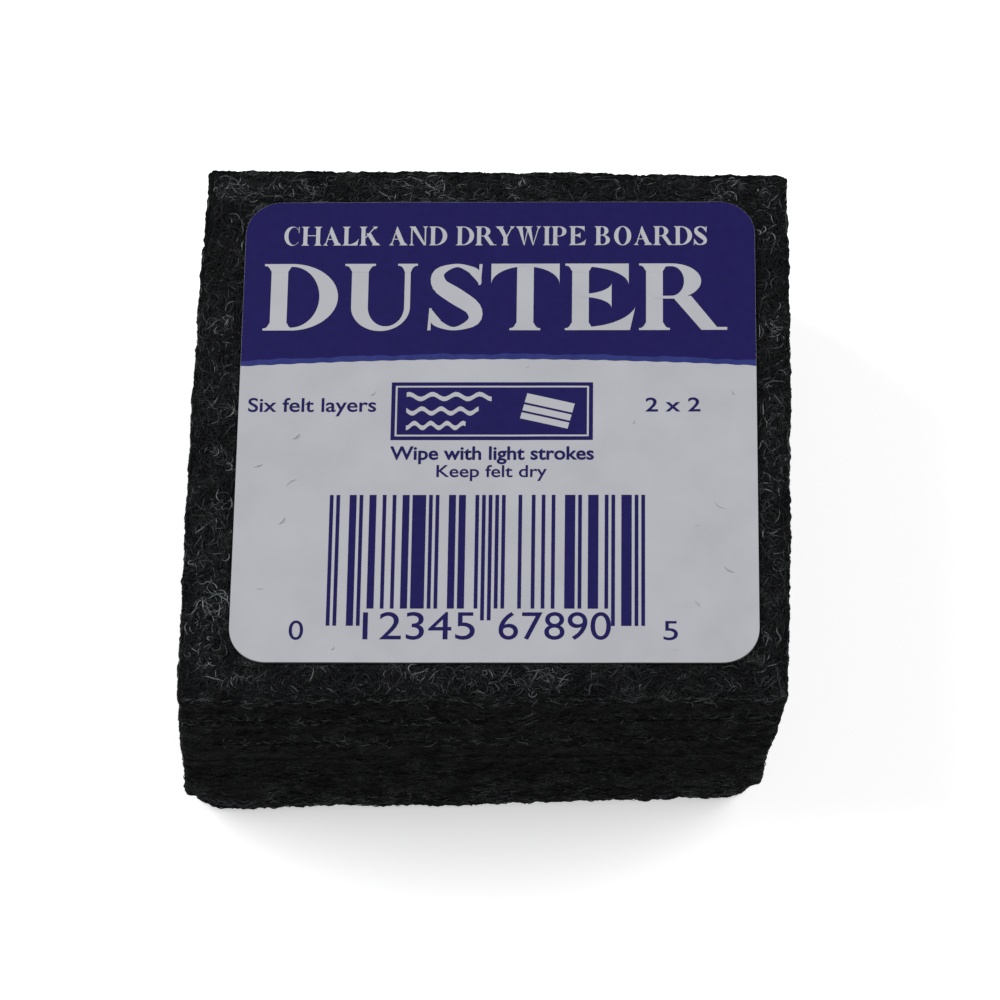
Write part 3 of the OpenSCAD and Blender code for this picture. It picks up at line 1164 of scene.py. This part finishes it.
bm = bmesh.new()
left, right, low, high = BOARD
left, right, low, high = left + RULE_INSET, right - RULE_INSET, low + RULE_INSET, high - RULE_INSET
for y in (high - RULE, low):
    patch(bm, left, right, y, y + RULE)
for x in (left, right - RULE):
    patch(bm, x, x + RULE, low, high)
for row, y in enumerate(CHALK_ROWS):
    # Each line is shorter than the one above it, and its waves are closer.
    chalk_right = CHALK_RIGHT - 1.1 * row
    line = patch(bm, CHALK_LEFT, chalk_right, y - CHALK_HALF, y + CHALK_HALF, STROKE_LIFT, columns=28)
    for v in line:
        v.co.y += 0.24 * math.sin(v.co.x * (3.1 + 0.7 * row) + row)
block = []
for low, high in BLOCK_LAYERS:
    block += patch(bm, -BLOCK_HALF, BLOCK_HALF, low, high, STROKE_LIFT)
tilt = Matrix.Rotation(math.radians(BLOCK_TILT), 3, "Z")
bmesh.ops.rotate(bm, cent=(0, 0, 0), matrix=tilt, verts=block)
bmesh.ops.translate(bm, vec=BLOCK_PLACE, verts=block)
print_piece("pictogram_drawing", bm, paper, 2 * INK_LIFT)

# %% [markdown]
# ## Stray fibres under the label
# Here and there a stray fibre lies under the label and shows through as a tiny hooked ridge.
# Each is a short thin arc of tube, half sunk in the paper, and made of the same paper, painted
# greyer as painted shade on its slopes.

# %% Hooked ridges
RIDGES = [
    # x, y, first direction in degrees, how far it turns, length
    (-17.9, -6.0, 80, -120, 1.9), (-18.6, -9.4, 20, 70, 1.2), (-20.3, -15.2, -40, 80, 1.1),
    (-17.6, -1.2, 15, 60, 1.0), (-20.9, -3.9, 5, 40, 1.1), (-11.0, 2.9, 35, 30, 0.9),
    (18.4, -6.9, -70, 95, 2.0), (16.6, -9.7, 40, -70, 1.1), (19.3, -13.2, -60, 60, 1.3),
    (17.3, -17.3, 100, 70, 1.2), (14.7, -21.0, -20, 50, 0.9), (-13.7, -21.2, 30, 60, 0.7),
    (11.6, 0.1, 60, 50, 0.7), (2.3, 5.6, 30, 40, 0.6), (20.1, 3.6, -80, 40, 0.8),
]
rng = np.random.default_rng(70)
paths = []
for x, y, first, turns, length in RIDGES:
    path, at = [], Vector((x, y))
    for k in range(FIBRE_POINTS):
        # The arc of tube is deepest at its ends.
        height = math.sin(math.pi * k / (FIBRE_POINTS - 1)) * 0.04 - 0.08
        path.append(on_paper(at.x, at.y, height))
        angle = math.radians(first + turns * k / (FIBRE_POINTS - 1))
        at += Vector((math.cos(angle), math.sin(angle))) * length / (FIBRE_POINTS - 1)
    paths.append(path)
ridges = fibre_piece("ridges_in_label", np.array(paths), np.zeros(len(paths)), rng, radius=0.13)
# The ridges take the greyer paper: painted shade on their slopes.
ridges.data.materials[0] = shadowed_paper

# %% [markdown]
# ## Glue and adhesive
# These two layers are CAD parts whose shape is already right, so only their finish is set. The
# glue between the plies is a dried brown latex film, cloudy and slightly lumpy. The label's
# adhesive is a clear film that looks like dull yellowish plastic at its edge.

# %% CAD parts that stay
glue = mottled("dried latex felt glue", "#3c362b", "#544c3d", 1.2, 0.5, 0.4, 0.4, 0.05)
label_glue = mottled("clear label adhesive", "#c0bda9", "#cfccbc", 2.0, 0.3, 0.5, 0.3, 0.01)
finishes = {f"glue_film_{i}": glue for i in range(1, FILMS + 1)}
finishes["label_adhesive"] = label_glue
for node_name, finish in finishes.items():
    node_mesh = frame["nodes"][node_name].data
    node_mesh.materials.clear()
    node_mesh.materials.append(finish)
print("finished", FILMS, "glue films and the label's adhesive")

# %% The end
bpy.context.view_layer.update()
